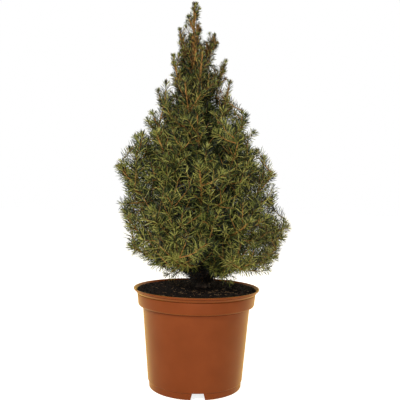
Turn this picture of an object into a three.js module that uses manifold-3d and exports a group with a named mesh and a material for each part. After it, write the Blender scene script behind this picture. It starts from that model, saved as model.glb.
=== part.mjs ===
// Dwarf Alberta spruce in a moulded plastic nursery pot.
// Millimetres, +Z up. The origin is the centre of the pot's flat underside, and the front is -Y.
// The pot is filled with compost. A leaning trunk stands on the compost, boughs leave it in tiers, and each
// bough, or the trunk itself, carries one mass of foliage: a stem with sprays of needles standing out of it.
import * as THREE from "three";
import { mergeVertices } from "three/addons/utils/BufferGeometryUtils.js";
import Module from "manifold-3d";

const wasm = await Module();
wasm.setup();

// ---- Driving dimensions -------------------------------------------------------------------------------------

const CLEAR = 0.3; // gap between pieces that touch on the real plant
const FINEST = 0.03; // details smaller than this are smoothed away
const GOLDEN = THREE.MathUtils.degToRad(137.508); // turn from one shoot to the next round a stem
const UP = new THREE.Vector3(0, 0, 1);

const POT = {
  height: 148,
  rimRadius: 95, // widest edge of the flared lip
  neckRadius: 89.4, // under the lip, at the top of the rim band
  neckHeight: 140,
  bandRadius: 87.8, // foot of the rim band
  bandFoot: 124,
  bodyRadius: 80.8, // just under the band
  bodyTop: 121,
  shinRadius: 71.2, // foot of the tapered body, above the standing ring
  shinHeight: 10.5,
  footRadius: 69.6,
  wall: 1.7,
  floor: 2.4,
  segments: 32,
};
const CHANNEL = {
  count: 4, // drainage channels under the floor, open at the foot
  turn: -86, // degrees, the front channel lies a little right of the middle
  topWidth: 16,
  footWidth: 21,
  height: 10,
  inner: 20, // radius where a channel ends, round the flat middle of the underside
  roof: 2,
  holeRadius: 4,
  holeAt: 52, // radius of the drain hole in each channel's roof
};
const SOIL = { edge: 144, crown: 147.6, seat: 22 }; // height at the wall, height round the trunk, flat seat radius

const TRUNK = {
  foot: SOIL.crown + CLEAR,
  top: 488,
  baseX: 9, // the stem leaves the compost right of the middle and leans left
  topX: -11.5,
  straightAbove: 470, // it is upright above this height
  bow: 3, // sideways bow towards the front
  baseRadius: 6.2,
  topRadius: 1.5,
  flare: 5, // extra radius of the root flare
  flareHeight: 8,
  rootLobes: 5,
};

// Crown outline: height, then reach from the trunk's line on the right (+X) and on the left (-X).
const OUTLINE = [
  [160, 78, 52],
  [168, 96, 66],
  [180, 110, 82],
  [200, 119, 102],
  [225, 129, 119],
  [252, 136, 119],
  [290, 122, 117],
  [332, 115, 122],
  [350, 108, 107],
  [372, 102, 97],
  [390, 94, 88],
  [412, 82, 67],
  [455, 61, 56],
  [465, 57, 36],
  [504, 54, 32],
  [538, 32, 24],
  [586, 5, 5],
];

// Tiers of boughs from the top. leaves: height where they leave the trunk; tip: height of their tips on the
// right and on the left; shoot: longest side shoot; needle: how far needles stand out, larger than life; bough:
// true where a bare limb shows before the foliage.
const TIERS = [
  { name: "crest", count: 4, turn: 12, leaves: 468, tip: [533, 540], shoot: 24, needle: 9, bough: false },
  { name: "upper", count: 4, turn: 18, leaves: 412, tip: [500, 503], shoot: 34, needle: 10, bough: false },
  { name: "shoulder", count: 4, turn: -12, leaves: 350, tip: [464, 450], shoot: 42, needle: 11, bough: false },
  { name: "middle", count: 5, turn: -14, leaves: 306, tip: [414, 408], shoot: 48, needle: 11, bough: false },
  { name: "waist", count: 5, turn: 20, leaves: 268, tip: [366, 384], shoot: 54, needle: 11.5, bough: true },
  { name: "broad", count: 5, turn: -16, leaves: 238, tip: [320, 334], shoot: 58, needle: 11.5, bough: true },
  { name: "low", count: 6, turn: 0, leaves: 210, tip: [250, 264], shoot: 58, needle: 11.5, bough: true },
  { name: "skirt", count: 6, turn: 8, leaves: 176, tip: [194, 212], shoot: 52, needle: 11.5, bough: false },
];
const CROWN = {
  swing: 0.66, // share of its reach that a bough runs outward before it turns up
  lift: 0.26, // share of its rise made by then
  enters: 0.25, // share of its path where a bough enters its foliage
  leaderTip: 585,
  buds: 40, // places on a mass where a side shoot could grow
  shoots: 5, // side shoots that do grow, where there is room
  shortest: 0.35, // least share of its full length that a shoot is worth growing
};
const SPRAY = {
  core: 3, // radius of the slim core
  twig: 1.1, // radius where the spray leaves its stem
  columns: 4,
  rings: 4,
  lean: 0.5, // share of a ring's step that a needle leans forward
  space: 0.85, // share of its needles' reach that a spray keeps free of other masses
  spacing: 0.5, // space kept from the next mass
  crowding: 9, // how deep the sprays of one mass may reach into each other
};
const STEM = {
  columns: 6,
  rows: 8,
  needle: 7, // how far its needles stand out of the core
  swell: 0.32, // core's radius as a share of the side shoots
  coreShare: 0.42, // most of the gap to the next stem that the core fills
  tipShare: 0.48, // and that its needles fill
};
const SEED = 4.7;

// ---- Materials ----------------------------------------------------------------------------------------------

const material = (color, roughness) => new THREE.MeshStandardMaterial({ color, roughness, metalness: 0 });
const potPlastic = material(0x9a4c28, 0.42);
const compost = material(0x1d1714, 0.95);
const bark = material(0x5b4030, 0.9);
const twigBark = material(0xa0642c, 0.75);
const needleGreen = material(0x4d5f31, 0.6);

// ---- Helpers ------------------------------------------------------------------------------------------------

const { degToRad, lerp, clamp, smoothstep } = THREE.MathUtils;
const root = new THREE.Group();

// A seeded number from 0 to 1 for each whole number n.
function noise(n) {
  const s = Math.sin(n * 12.9898 + SEED) * 43758.5453;
  return s - Math.floor(s);
}

// The solid of a closed geometry.
function solidOf(geometry) {
  geometry.deleteAttribute("normal");
  geometry.deleteAttribute("uv");
  const merged = mergeVertices(geometry, 1e-4);
  return new wasm.Manifold(
    new wasm.Mesh({
      numProp: 3,
      vertProperties: merged.getAttribute("position").array,
      triVerts: new Uint32Array(merged.index.array),
    }),
  );
}

// The largest body of a solid, without loose scraps and slivers.
function mainBody(solid) {
  return solid
    .decompose()
    .reduce((a, b) => (b.volume() > a.volume() ? b : a))
    .simplify(FINEST);
}

function addPart(name, solid, surface) {
  const made = solid.getMesh();
  const geometry = new THREE.BufferGeometry()
    .setAttribute("position", new THREE.BufferAttribute(made.vertProperties, 3))
    .setIndex(new THREE.BufferAttribute(made.triVerts, 1));
  geometry.computeVertexNormals();
  const mesh = new THREE.Mesh(geometry, surface);
  mesh.name = name;
  root.add(mesh);
}

// A lathe turned about the Z axis.
function turned(profile, segments) {
  const points = profile.map(([r, z]) => new THREE.Vector2(r, z));
  return solidOf(new THREE.LatheGeometry(points, segments).rotateX(Math.PI / 2));
}

// The sideways direction kept square to a path's tangent.
function squareTo(side, tangent) {
  return side.clone().addScaledVector(tangent, -side.dot(tangent)).normalize();
}

// Bends a lathe, whose axis runs from y = 0 to y = 1, along the part of a path from one share to another.
function bendAlong(geometry, path, side, from = 0, to = 1) {
  const position = geometry.getAttribute("position");
  for (let i = 0; i < position.count; i++) {
    const share = lerp(from, to, position.getY(i));
    const tangent = path.getTangent(share);
    const across = squareTo(side, tangent);
    const point = path
      .getPoint(share)
      .addScaledVector(across, position.getX(i))
      .addScaledVector(across.clone().cross(tangent), position.getZ(i));
    position.setXYZ(i, point.x, point.y, point.z);
  }
  return solidOf(geometry);
}

// A tapering limb along a path, with flat ends.
function limb(path, side, radiusAt, { from = 0, to = 1, columns = 6, rows = 5 } = {}) {
  const profile = [new THREE.Vector2(0, 0)];
  for (let j = 0; j <= rows; j++) profile.push(new THREE.Vector2(radiusAt(j / rows), j / rows));
  profile.push(new THREE.Vector2(0, 1));
  return bendAlong(new THREE.LatheGeometry(profile, columns), path, side, from, to);
}

// ---- Pot and compost ----------------------------------------------------------------------------------------

// The pot's outer surface from the underside's middle to the top of the lip.
const OUTER = [
  [0, 0],
  [POT.footRadius - 0.8, 0],
  [POT.footRadius, 0.8],
  [POT.footRadius + 0.3, POT.shinHeight - 1],
  [POT.shinRadius, POT.shinHeight],
  [POT.bodyRadius, POT.bodyTop],
  [POT.bandRadius, POT.bandFoot],
  [POT.neckRadius, POT.neckHeight],
  [POT.rimRadius, POT.height - 1],
  [POT.rimRadius - 0.6, POT.height],
];
// Its inner surface, from the lip down to the floor, set in by a clearance for what fills it.
function inner(clearance = 0) {
  const inset = POT.wall + clearance;
  return [
    [POT.rimRadius - 2.6 - clearance, POT.height - 0.6],
    [POT.neckRadius - inset, POT.neckHeight + 0.6],
    [POT.bandRadius - inset, POT.bandFoot + 0.8 + clearance],
    [POT.bodyRadius - inset, POT.bodyTop + 0.8 + clearance],
    [POT.shinRadius - inset, POT.shinHeight + 0.8],
    [POT.footRadius - inset, POT.floor + clearance],
    [0, POT.floor + clearance],
  ];
}

// One drainage channel's prism, grown on all sides: a trapezium pushed along the radius.
function channelPrism(index, grow, from, to) {
  const half = (width) => width / 2 + grow;
  const top = CHANNEL.height + grow;
  const section = new THREE.Shape([
    new THREE.Vector2(-half(CHANNEL.footWidth), -1),
    new THREE.Vector2(half(CHANNEL.footWidth), -1),
    new THREE.Vector2(half(CHANNEL.topWidth), top),
    new THREE.Vector2(-half(CHANNEL.topWidth), top),
  ]);
  const prism = new THREE.ExtrudeGeometry(section, { depth: to - from, bevelEnabled: false });
  prism.rotateX(Math.PI / 2).rotateZ(Math.PI / 2).translate(from, 0, 0);
  return solidOf(prism.rotateZ(degToRad(CHANNEL.turn + (360 / CHANNEL.count) * index)));
}

function drainHole(index) {
  const hole = new THREE.CylinderGeometry(CHANNEL.holeRadius, CHANNEL.holeRadius, 2 * CHANNEL.height, 10);
  hole.rotateX(Math.PI / 2).translate(CHANNEL.holeAt, 0, CHANNEL.height);
  return solidOf(hole.rotateZ(degToRad(CHANNEL.turn + (360 / CHANNEL.count) * index)));
}

function makePot() {
  const insideWall = turned([[0, POT.height], ...inner(-0.5 * POT.wall)].reverse(), POT.segments);
  let pot = turned([...OUTER, ...inner()], POT.segments);
  for (let i = 0; i < CHANNEL.count; i++) {
    const housing = channelPrism(i, CHANNEL.roof, CHANNEL.inner - CHANNEL.roof, POT.footRadius + 5);
    pot = pot.add(housing.intersect(insideWall));
  }
  for (let i = 0; i < CHANNEL.count; i++) {
    pot = pot.subtract(channelPrism(i, 0, CHANNEL.inner, POT.rimRadius)).subtract(drainHole(i));
  }
  addPart("pot", mainBody(pot), potPlastic);
}

function makeSoil() {
  const [, ...below] = inner(CLEAR);
  const edgeRadius = POT.neckRadius - CLEAR;
  const profile = [[0, SOIL.crown], [SOIL.seat, SOIL.crown], [0.72 * edgeRadius, SOIL.crown - 1.6]];
  let soil = turned([...profile, [edgeRadius, SOIL.edge], ...below].reverse(), POT.segments);
  for (let i = 0; i < CHANNEL.count; i++) {
    const grow = CHANNEL.roof + CLEAR;
    soil = soil.subtract(channelPrism(i, grow, CHANNEL.inner - grow, POT.rimRadius));
  }
  addPart("compost", mainBody(soil), compost);
}

// ---- Trunk --------------------------------------------------------------------------------------------------

// The trunk's axis as a curve by height, so that its lean is one smooth sweep.
class TrunkAxis extends THREE.Curve {
  getPoint(share, target = new THREE.Vector3()) {
    const z = lerp(TRUNK.foot, TRUNK.top, share);
    const lean = smoothstep(z, TRUNK.foot, TRUNK.straightAbove);
    return target.set(lerp(TRUNK.baseX, TRUNK.topX, lean), -TRUNK.bow * Math.sin(Math.PI * clamp(share, 0, 1)), z);
  }
}
const trunkAxis = new TrunkAxis();
const trunkAt = (z) => trunkAxis.getPoint((z - TRUNK.foot) / (TRUNK.top - TRUNK.foot));
const trunkRadius = (z) => {
  const share = (z - TRUNK.foot) / (TRUNK.top - TRUNK.foot);
  return lerp(TRUNK.baseRadius, TRUNK.topRadius, share ** 0.85) + TRUNK.flare * Math.exp(-(z - TRUNK.foot) / TRUNK.flareHeight);
};

// The trunk's solid, thicker all round by grow. Its rings crowd at the foot, where the roots flare in lobes.
function trunkSolid(grow = 0) {
  const rows = 13;
  const columns = 2 * TRUNK.rootLobes;
  const heights = Array.from({ length: rows + 1 }, (_, j) => lerp(TRUNK.foot, TRUNK.top, (j / rows) ** 1.7));
  const profile = heights.map((z) => new THREE.Vector2(trunkRadius(z) + grow, z));
  const geometry = new THREE.LatheGeometry(
    [new THREE.Vector2(0, TRUNK.foot), ...profile, new THREE.Vector2(0, TRUNK.top)],
    columns,
  ).rotateX(Math.PI / 2);
  const position = geometry.getAttribute("position");
  for (let i = 0; i < position.count; i++) {
    const z = position.getZ(i);
    const column = Math.floor(i / (rows + 3)) % columns;
    const lobe = 1 + 0.3 * (column % 2 ? -1 : 1) * Math.exp(-(z - TRUNK.foot) / (1.6 * TRUNK.flareHeight));
    const axis = trunkAt(z);
    position.setXYZ(i, axis.x + position.getX(i) * lobe, axis.y + position.getY(i) * lobe, z);
  }
  return solidOf(geometry);
}

// ---- Crown rule ---------------------------------------------------------------------------------------------

// The crown's reach from the trunk at a height and an azimuth, between its right and left outlines.
function crownReach(z, azimuth) {
  const height = clamp(z, OUTLINE[0][0], OUTLINE.at(-1)[0]);
  const next = Math.max(1, OUTLINE.findIndex((row) => row[0] >= height));
  const [z0, right0, left0] = OUTLINE[next - 1];
  const [z1, right1, left1] = OUTLINE[next];
  const share = (height - z0) / (z1 - z0);
  return lerp(lerp(left0, left1, share), lerp(right0, right1, share), (1 + Math.cos(azimuth)) / 2);
}

// True if a point lies inside the crown's outline.
function insideCrown(point) {
  const axis = trunkAt(point.z);
  const radius = Math.hypot(point.x - axis.x, point.y - axis.y);
  const reach = crownReach(point.z, Math.atan2(point.y - axis.y, point.x - axis.x));
  return point.z >= OUTLINE[0][0] && radius <= reach;
}

// One mass of foliage: the path of its bough and stem, and where on it the foliage starts.
function massOf(tier, index, seed) {
  const azimuth = degToRad(tier.turn + (360 / tier.count) * index);
  const out = new THREE.Vector3(Math.cos(azimuth), Math.sin(azimuth), 0);
  const start = trunkAt(tier.leaves + 10 * (noise(seed) - 0.5) + 5 * (index % 2));
  const tipHeight = lerp(tier.tip[1], tier.tip[0], (1 + out.x) / 2) + 10 * (noise(seed + 100) - 0.5);
  const reach = crownReach(tipHeight, azimuth);
  const tip = trunkAt(tipHeight).addScaledVector(out, reach);
  const bend = start.clone().addScaledVector(out, CROWN.swing * reach);
  bend.z += CROWN.lift * (tip.z - start.z);
  return {
    name: `${tier.name}_${index + 1}`,
    seed,
    side: new THREE.Vector3(-out.y, out.x, 0),
    path: new THREE.QuadraticBezierCurve3(start, bend, tip),
    enters: tier.bough ? CROWN.enters : 0,
    bough: tier.bough,
    shoot: tier.shoot,
    needle: tier.needle,
    thick: 1.1 + reach / 95,
  };
}

// The leader carries on from the trunk's tip.
function leaderMass() {
  const start = trunkAt(TRUNK.top).addScaledVector(UP, CLEAR);
  const tip = start.clone().setZ(CROWN.leaderTip);
  return {
    name: "leader",
    seed: 0,
    side: new THREE.Vector3(0, 1, 0),
    path: new THREE.QuadraticBezierCurve3(start, start.clone().lerp(tip, 0.5), tip),
    enters: 0,
    bough: false,
    shoot: 24,
    needle: 8.5,
    thick: TRUNK.topRadius,
  };
}

const masses = [leaderMass()];
for (const tier of TIERS) {
  for (let i = 0; i < tier.count; i++) masses.push(massOf(tier, i, masses.length));
}

// Where a bud sits on a mass's stem, from its foot to its tip.
const budPlace = (mass, bud) => lerp(0.1, 0.86, (bud * 0.618034 + noise(mass.seed + 200)) % 1);

// The side shoot that a bud on a mass would make: it leaves the stem by the golden angle, opens and turns up,
// and is only as long as the crown lets it be. A bud with no room for a worthwhile shoot makes none.
function shootFrom(mass, bud) {
  const local = budPlace(mass, bud);
  const along = lerp(mass.enters, 1, local);
  const start = mass.path.getPoint(along);
  const tangent = mass.path.getTangent(along);
  const across = squareTo(mass.side, tangent);
  const over = across.clone().cross(tangent);
  const turn = GOLDEN * bud + 2 * Math.PI * noise(mass.seed + 300);
  const opening = degToRad(lerp(72, 38, local));
  const heading = tangent
    .clone()
    .multiplyScalar(Math.cos(opening))
    .addScaledVector(across, Math.sin(opening) * Math.cos(turn))
    .addScaledVector(over, Math.sin(opening) * Math.sin(turn))
    .addScaledVector(UP, 0.2)
    .normalize();
  const full = mass.shoot * lerp(1, 0.7, local) * lerp(0.85, 1.15, noise(31 * mass.seed + bud + 400));
  for (let share = 1; share >= CROWN.shortest; share -= 0.125) {
    const length = full * share;
    const bend = start.clone().addScaledVector(heading, 0.55 * length);
    const end = start.clone().addScaledVector(heading, length).addScaledVector(UP, 0.18 * length);
    if (insideCrown(end)) return new THREE.QuadraticBezierCurve3(start, bend, end);
  }
  return null;
}

// ---- Room in the crown --------------------------------------------------------------------------------------

// A path as straight stretches, each with the radius of the space that it keeps.
function stretches(path, radiusAt, { from = 0, to = 1, parts = 6 } = {}) {
  return Array.from({ length: parts }, (_, i) => {
    const a = path.getPoint(lerp(from, to, i / parts));
    const b = path.getPoint(lerp(from, to, (i + 1) / parts));
    return { a, b, run: b.clone().sub(a), r: radiusAt((i + 0.5) / parts) };
  });
}

// The least distance between the surfaces of two stretches.
function stretchGap(p, q) {
  const w = p.a.clone().sub(q.a);
  const [uu, uv, vv] = [p.run.dot(p.run), p.run.dot(q.run), q.run.dot(q.run)];
  const [uw, vw] = [p.run.dot(w), q.run.dot(w)];
  const det = uu * vv - uv * uv;
  let s = det > 1e-9 ? clamp((uv * vw - vv * uw) / det, 0, 1) : 0;
  const t = clamp((uv * s + vw) / vv, 0, 1);
  s = clamp((uv * t - uw) / uu, 0, 1);
  return w.addScaledVector(p.run, s).addScaledVector(q.run, -t).length() - p.r - q.r;
}

// The least gap from some stretches to others, as far as it is under a limit.
function roomBetween(own, others, limit) {
  let room = limit;
  for (const q of others) {
    for (const p of own) {
      const reach = room + p.r + q.r + p.run.length() + q.run.length();
      if (p.a.distanceToSquared(q.a) < reach * reach) room = Math.min(room, stretchGap(p, q));
    }
  }
  return room;
}

const trunkHeight = (share) => lerp(TRUNK.foot, TRUNK.top, share);
const limbs = stretches(trunkAxis, (share) => trunkRadius(trunkHeight(share)), { parts: 24 });
for (const mass of masses) {
  mass.axis = stretches(mass.path, () => 0);
  if (mass.bough) limbs.push(...stretches(mass.path, () => mass.thick, { to: mass.enters }));
}

// The rings of a mass's stem crowd a little towards its tip, which ends in needles and not in a long point.
const ringShare = (row) => Math.min(1, row / (STEM.rows - 0.5));

// The radii of a mass's core, and of the needle tips round it, from its foot to its tip. The core swells out of
// the stem, and both keep to their half of the gap to the next stem.
for (const mass of masses) {
  const others = masses.filter((other) => other !== mass).flatMap((other) => other.axis);
  mass.core = [];
  mass.tips = [];
  for (let row = 0; row <= STEM.rows; row++) {
    const share = ringShare(row);
    const from = lerp(mass.enters, 1, share);
    const here = stretches(mass.path, () => 0, { from, to: from - 0.01, parts: 1 });
    const room = roomBetween(here, [...others, ...limbs], 60);
    const swell = STEM.swell * mass.shoot * Math.sin(Math.PI * share ** 0.8) ** 0.7;
    const core = Math.max(lerp(0.9 * mass.thick, 0.6, share), Math.min(swell, STEM.coreShare * room));
    const wanted = core + Math.max(STEM.needle, mass.needle - core);
    mass.core.push(core);
    mass.tips.push(Math.max(core, Math.min(wanted, STEM.tipShare * room)));
  }
  const radiusAt = (share) => mass.tips[Math.round(share * STEM.rows)];
  mass.kept = stretches(mass.path, radiusAt, { from: mass.enters, parts: STEM.rows });
  mass.sprays = [];
}

// The core's radius under a bud.
const coreUnder = (mass, bud) => mass.core[Math.round(budPlace(mass, bud) * STEM.rows)];

// The needles of a shoot keep this space.
const needleSpace = (mass, path) => stretches(path, () => SPRAY.space * mass.needle, { from: 0.4, parts: 2 });

// Of the buds on a mass, the one with the most room round its shoot grows.
function growShoot(mass) {
  const others = masses.filter((other) => other !== mass).flatMap((other) => other.kept);
  const own = mass.sprays.flatMap((shoot) => shoot.space);
  let best = null;
  for (let bud = 0; bud < CROWN.buds; bud++) {
    const path = shootFrom(mass, bud);
    if (!path) continue;
    const space = needleSpace(mass, path);
    const clear = roomBetween(space, [...others, ...limbs], 30);
    const crowded = roomBetween(space, own, 30);
    if (clear < SPRAY.spacing || crowded < -SPRAY.crowding) continue;
    const room = Math.min(clear, crowded + SPRAY.crowding) + 0.2 * path.getLength();
    if (!best || room > best.room) best = { path, space, room, coreRadius: coreUnder(mass, bud) };
  }
  if (!best) return;
  mass.sprays.push(best);
  mass.kept.push(...best.space);
}
for (let round = 0; round < CROWN.shoots; round++) masses.forEach(growShoot);

// ---- Solids of the crown ------------------------------------------------------------------------------------

// A closed spindle along a path, with every other vertex of its rings drawn out into a needle that leans
// forward. Each ring is {at, core, needle}: its share of the path, and the radii between and at its needles.
function needled(path, side, columns, foot, rings) {
  const all = [{ at: foot.at, core: 0 }, ...(foot.radius ? [{ at: foot.at, core: foot.radius }] : []), ...rings];
  const last = all.length;
  const profile = Array.from({ length: last + 1 }, (_, row) => new THREE.Vector2(row % last ? 1 : 0, row));
  const geometry = new THREE.LatheGeometry(profile, columns);
  const position = geometry.getAttribute("position");
  for (let i = 0; i < position.count; i++) {
    const row = i % (last + 1);
    const column = Math.floor(i / (last + 1)) % columns;
    const ring = all[row] ?? { at: 1, core: 0 };
    const drawn = ring.needle && (row + column) % 2 === 0;
    const radius = ring.core + (drawn ? ring.needle : 0);
    const turn = (2 * Math.PI * column) / columns + 0.3 * row;
    position.setXYZ(i, radius * Math.sin(turn), ring.at + (drawn ? ring.lean : 0), radius * Math.cos(turn));
  }
  return bendAlong(geometry, path, side);
}

// A spray on a side shoot: bare where it leaves the core, then rings of needles up to its tip.
function spray(path, coreRadius, needle) {
  const bare = clamp((coreRadius + 1) / path.getLength(), 0.12, 0.45);
  const step = (1 - bare) / (SPRAY.rings - 0.5);
  const rings = Array.from({ length: SPRAY.rings }, (_, i) => ({
    at: bare + step * i,
    core: i ? SPRAY.core : SPRAY.twig,
    needle: i ? needle - SPRAY.core : 0,
    lean: SPRAY.lean * step,
  }));
  return needled(path, squareTo(UP, path.getTangent(0)), SPRAY.columns, { at: 0 }, rings);
}

// The stem of a mass: its core bristles with needles, and it ends in a spray.
function stem(mass) {
  const from = mass.enters + (mass.bough ? CLEAR / mass.path.getLength() : 0);
  const step = (1 - from) * ringShare(1);
  const rings = mass.core.slice(1, -1).map((core, i) => ({
    at: from + step * (i + 1),
    core,
    needle: mass.tips[i + 1] - core,
    lean: SPRAY.lean * step,
  }));
  return needled(mass.path, mass.side, STEM.columns, { at: from, radius: mass.core[0] }, rings);
}

const trunkGrown = trunkSolid(CLEAR);

function makeBough(mass) {
  const radiusAt = (share) => lerp(mass.thick, mass.core[0], share);
  const bough = limb(mass.path, mass.side, radiusAt, { to: mass.enters, columns: 5, rows: 3 });
  addPart(`bough_${mass.name}`, mainBody(bough.subtract(trunkGrown)), twigBark);
}

function makeMass(mass) {
  let solid = stem(mass);
  for (const { path, coreRadius } of mass.sprays) solid = solid.add(spray(path, coreRadius, mass.needle));
  if (!mass.bough) solid = solid.subtract(trunkGrown);
  addPart(`foliage_${mass.name}`, mainBody(solid), needleGreen);
}

makePot();
makeSoil();
addPart("trunk", trunkSolid(), bark);
for (const mass of masses) {
  if (mass.bough) makeBough(mass);
  makeMass(mass);
}

export default root;
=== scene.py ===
"""Dwarf Alberta spruce in its moulded nursery pot.

The crown grows by the same seeded rule as the solids, carried on to finer twigs, and each needle is a closed
mesh of a few faces. The rules work in millimetres in the row frame, and a mesh is scaled to metres when made.
"""

import math

import bmesh
import bpy
import numpy as np
from mathutils import Matrix, Vector, noise as field


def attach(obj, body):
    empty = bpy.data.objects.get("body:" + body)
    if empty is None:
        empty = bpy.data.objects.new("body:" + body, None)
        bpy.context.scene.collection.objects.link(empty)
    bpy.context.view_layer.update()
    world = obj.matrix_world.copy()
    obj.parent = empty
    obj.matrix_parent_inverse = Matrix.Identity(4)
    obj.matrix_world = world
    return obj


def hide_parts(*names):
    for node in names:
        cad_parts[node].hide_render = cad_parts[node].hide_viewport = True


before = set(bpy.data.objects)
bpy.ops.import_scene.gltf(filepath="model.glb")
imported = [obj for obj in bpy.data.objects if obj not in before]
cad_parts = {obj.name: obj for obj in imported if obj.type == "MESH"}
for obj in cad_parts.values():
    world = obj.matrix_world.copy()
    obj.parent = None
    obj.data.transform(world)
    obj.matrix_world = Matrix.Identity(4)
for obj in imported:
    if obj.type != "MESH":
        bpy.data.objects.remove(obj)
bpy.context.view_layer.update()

MM = 0.001
UP = np.array([0.0, 0.0, 1.0])
GOLDEN = math.radians(137.508)
TURN, THIRD = 6.283, 2.0944  # a whole turn and a third of one

# ---- Sizes, as in the solids -------------------------------------------------------------------------

POT = dict(
    height=148, rim=95, neck=89.4, neck_height=140, band=87.8, band_foot=124, body=80.8, body_top=121,
    shin=71.2, shin_height=10.5, foot=69.6, wall=1.7, floor=2.4,
)
CHANNEL = dict(count=4, turn=-86, top=16, foot=21, height=10, inner=20)
SOIL = dict(edge=144, crown=147.6, seat=22)
TRUNK = dict(
    foot=147.9, top=488, base_x=9, top_x=-11.5, straight=470, bow=3, base_radius=6.2, top_radius=1.5,
    flare=5, flare_height=8, lobes=5,
)
OUTLINE = np.array([  # height, and the crown's reach there to the right and to the left
    [160, 78, 52], [168, 96, 66], [180, 110, 82], [200, 119, 102], [225, 129, 119], [252, 136, 119],
    [290, 122, 117], [332, 115, 122], [350, 108, 107], [372, 102, 97], [390, 94, 88], [412, 82, 67],
    [455, 61, 56], [465, 57, 36], [504, 54, 32], [538, 32, 24], [586, 5, 5],
], float)
TIERS = [  # name, count, turn, leaves, tip right, tip left, shoot, needle, bough
    ("crest", 4, 12, 468, 533, 540, 24, 9, False),
    ("upper", 4, 18, 412, 500, 503, 34, 10, False),
    ("shoulder", 4, -12, 350, 464, 450, 42, 11, False),
    ("middle", 5, -14, 306, 414, 408, 48, 11, False),
    ("waist", 5, 20, 268, 366, 384, 54, 11.5, True),
    ("broad", 5, -16, 238, 320, 334, 58, 11.5, True),
    ("low", 6, 0, 210, 250, 264, 58, 11.5, True),
    ("skirt", 6, 8, 176, 194, 212, 52, 11.5, False),
]
CROWN = dict(swing=0.66, lift=0.26, enters=0.25, leader_tip=585, buds=40, shoots=5, shortest=0.35)
SPRAY = dict(space=0.85, spacing=0.5, crowding=9)
STEM = dict(rows=8, needle=7, swell=0.32, core_share=0.42, tip_share=0.48)
SEED = 4.7


# ---- The source's rule -------------------------------------------------------------------------------


def chance(n):
    """A seeded number from 0 to 1 for each whole number n."""
    s = np.sin(np.asarray(n, float) * 12.9898 + SEED) * 43758.5453
    return s - np.floor(s)


def lerp(a, b, t):
    """The value at share t of the way from a to b."""
    return a + (b - a) * t


def unit(v):
    return v / np.linalg.norm(v, axis=-1, keepdims=True)


def dot(a, b):
    return (a * b).sum(-1, keepdims=True)


def opened(tangent, across, over, opening, turn, lift):
    """The directions that open from each tangent by an angle, turned round it, and lift a little."""
    return unit(
        tangent * np.cos(opening)[:, None]
        + across * (np.sin(opening) * np.cos(turn))[:, None]
        + over * (np.sin(opening) * np.sin(turn))[:, None]
        + lift * UP
    )


def trunk_at(z):
    """The trunk's middle line at each height: an S sideways and a slight bow to the front."""
    z = np.asarray(z, float)
    share = np.clip((z - TRUNK["foot"]) / (TRUNK["top"] - TRUNK["foot"]), 0, 1)
    t = np.clip((z - TRUNK["foot"]) / (TRUNK["straight"] - TRUNK["foot"]), 0, 1)
    x = lerp(TRUNK["base_x"], TRUNK["top_x"], t * t * (3 - 2 * t))
    return np.stack([x, -TRUNK["bow"] * np.sin(np.pi * share), z], -1)


def trunk_radius(z):
    share = (z - TRUNK["foot"]) / (TRUNK["top"] - TRUNK["foot"])
    flare = TRUNK["flare"] * np.exp(-(z - TRUNK["foot"]) / TRUNK["flare_height"])
    return lerp(TRUNK["base_radius"], TRUNK["top_radius"], share**0.85) + flare


def point_on(c, t):
    """Points at shares t of quadratic Bezier paths c, whose second last axis is the three control points."""
    t = np.asarray(t, float)[..., None]
    return (1 - t) ** 2 * c[..., 0, :] + 2 * (1 - t) * t * c[..., 1, :] + t * t * c[..., 2, :]


def along(c, t):
    """The paths' directions at shares t."""
    lo, hi = np.clip(np.asarray(t, float) - 1e-4, 0, 1), np.clip(np.asarray(t, float) + 1e-4, 0, 1)
    return unit(point_on(c, hi) - point_on(c, lo))


def lengths(c):
    steps = point_on(c[:, None], np.linspace(0, 1, 201)[None])
    return np.linalg.norm(np.diff(steps, axis=1), axis=-1).sum(-1)


def crown_reach(z, azimuth):
    """How far the crown's outline lies from the trunk's line at each height, round by azimuth."""
    z = np.clip(z, OUTLINE[0, 0], OUTLINE[-1, 0])
    right = np.interp(z, OUTLINE[:, 0], OUTLINE[:, 1])
    left = np.interp(z, OUTLINE[:, 0], OUTLINE[:, 2])
    return lerp(left, right, (1 + np.cos(azimuth)) / 2)


def from_trunk(p):
    """How far each point lies from the trunk's line, and the crown's reach there."""
    d = p - trunk_at(p[..., 2])
    return np.hypot(d[..., 0], d[..., 1]), crown_reach(p[..., 2], np.arctan2(d[..., 1], d[..., 0]))


def crown_depth(p):
    """How much of the crown's reach lies within each point: 1 at its outline."""
    out, reach = from_trunk(p)
    return out / reach


def inside_crown(p):
    return (p[..., 2] >= OUTLINE[0, 0]) & (crown_depth(p) <= 1)


def stretches(c, radii, start=0.0, stop=1.0):
    """A path as straight stretches: their starts, runs and radii."""
    at = point_on(c, np.linspace(start, stop, len(radii) + 1))
    return at[:-1], np.diff(at, axis=0), np.asarray(radii, float)


def joined(parts):
    """Several sets of stretches as one."""
    return tuple(np.concatenate([part[i] for part in parts]) for i in range(3))


def gaps(p, q):
    """The least distance between the surfaces of each stretch of p and each of q."""
    w = p[0][:, None] - q[0][None]
    uu, vv, uv = (p[1] ** 2).sum(-1)[:, None], (q[1] ** 2).sum(-1)[None], p[1] @ q[1].T
    uw, vw = (p[1][:, None] * w).sum(-1), (q[1][None] * w).sum(-1)
    det = uu * vv - uv * uv
    s = np.where(det > 1e-9, np.clip((uv * vw - vv * uw) / np.where(det > 1e-9, det, 1), 0, 1), 0)
    t = np.clip((uv * s + vw) / vv, 0, 1)
    s = np.clip((uv * t - uw) / uu, 0, 1)
    apart = w + s[..., None] * p[1][:, None] - t[..., None] * q[1][None]
    return np.linalg.norm(apart, axis=-1) - p[2][:, None] - q[2][None]


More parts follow.
